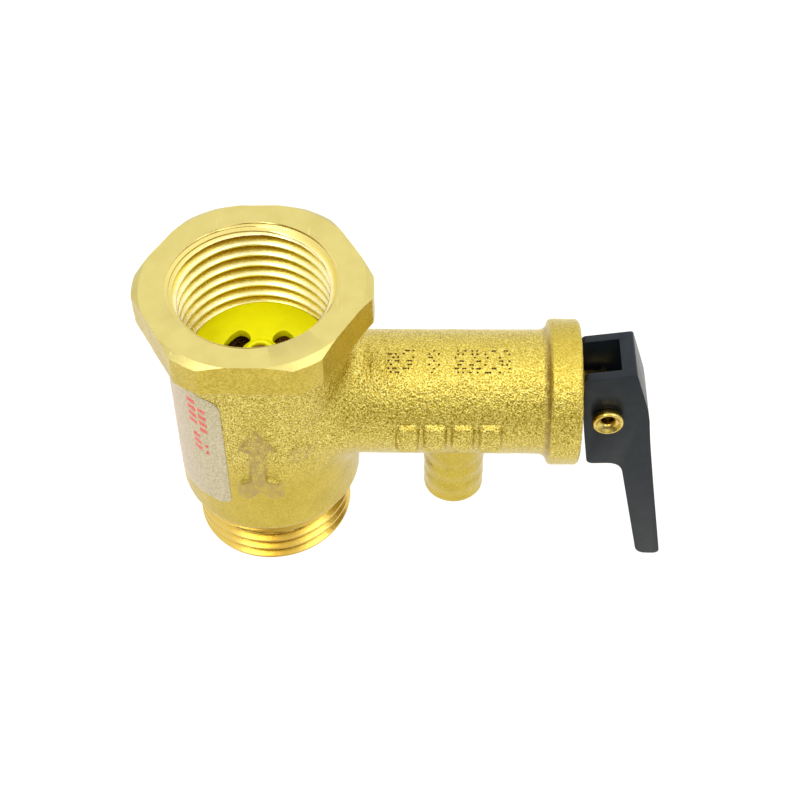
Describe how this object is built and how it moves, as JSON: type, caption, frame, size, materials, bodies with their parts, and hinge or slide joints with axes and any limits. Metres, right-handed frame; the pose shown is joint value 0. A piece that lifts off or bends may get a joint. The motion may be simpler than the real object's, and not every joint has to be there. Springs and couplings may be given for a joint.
{
  "type": "pressure relief valve",
  "caption": "Brass pressure relief valve for a water heater: hexagonal female end, male threaded end, side arm with a relief mechanism, discharge nozzle and black lever.",
  "frame": {"origin": "centre of the female end's face, where the heater's pipe screws in", "axes": "+Z along the run towards the heater, +X along the side arm from the run to the lever"},
  "size_m": [0.0687, 0.027, 0.0509],
  "materials": {
    "cast_brass": "sand-cast and machined brass, coarse on the casting and bright where it is turned",
    "turned_brass": "turned brass with fine tool marks",
    "rivet_brass": "pressed bright brass",
    "spring_steel": "drawn stainless wire and stamped plate",
    "black_rubber": "moulded nitrile rubber",
    "yellow_plastic": "moulded yellow plastic, satin",
    "black_plastic": "moulded charcoal plastic, satin",
    "label_film": "thin translucent printed film"
  },
  "bodies": {
    "body": {"valve_body": "cast_brass", "check_cage": "yellow_plastic", "check_spring": "spring_steel", "relief_spring": "spring_steel", "spring_plate": "spring_steel", "stem_o_ring": "black_rubber", "spring_cap": "turned_brass", "label": "label_film"},
    "check_poppet": {"check_stem": "turned_brass", "check_seal": "black_rubber", "check_washer": "turned_brass", "check_nut": "turned_brass"},
    "relief_spindle": {"relief_stem": "turned_brass", "disc_holder": "turned_brass", "relief_seal": "black_rubber"},
    "lever": {"lever": "black_plastic", "lever_rivet": "rivet_brass", "rivet_washer": "rivet_brass"}
  },
  "joints": [
    {"name": "check_lift", "type": "slide", "parent": "body", "child": "check_poppet", "axis": [0, 0, 1], "range_m": [0, 0.003], "stiffness_N_per_m": 20, "springref_m": -0.002, "deforming": ["check_spring"]},
    {"name": "relief_lift", "type": "slide", "parent": "body", "child": "relief_spindle", "axis": [1, 0, 0], "range_m": [0, 0.00463], "deforming": ["relief_spring"]},
    {"name": "lever_lift", "type": "hinge", "parent": "relief_spindle", "child": "lever", "pos_m": [0.0441, 0, -0.0204], "axis": [0, -1, 0], "range_deg": [0, 50], "stiffness_Nm_per_rad": 0.001, "springref_deg": -42.97}
  ],
  "couplings": [
    {"joint": "relief_lift", "follows": "lever_lift", "m_per_rad": 0.0053}
  ]
}
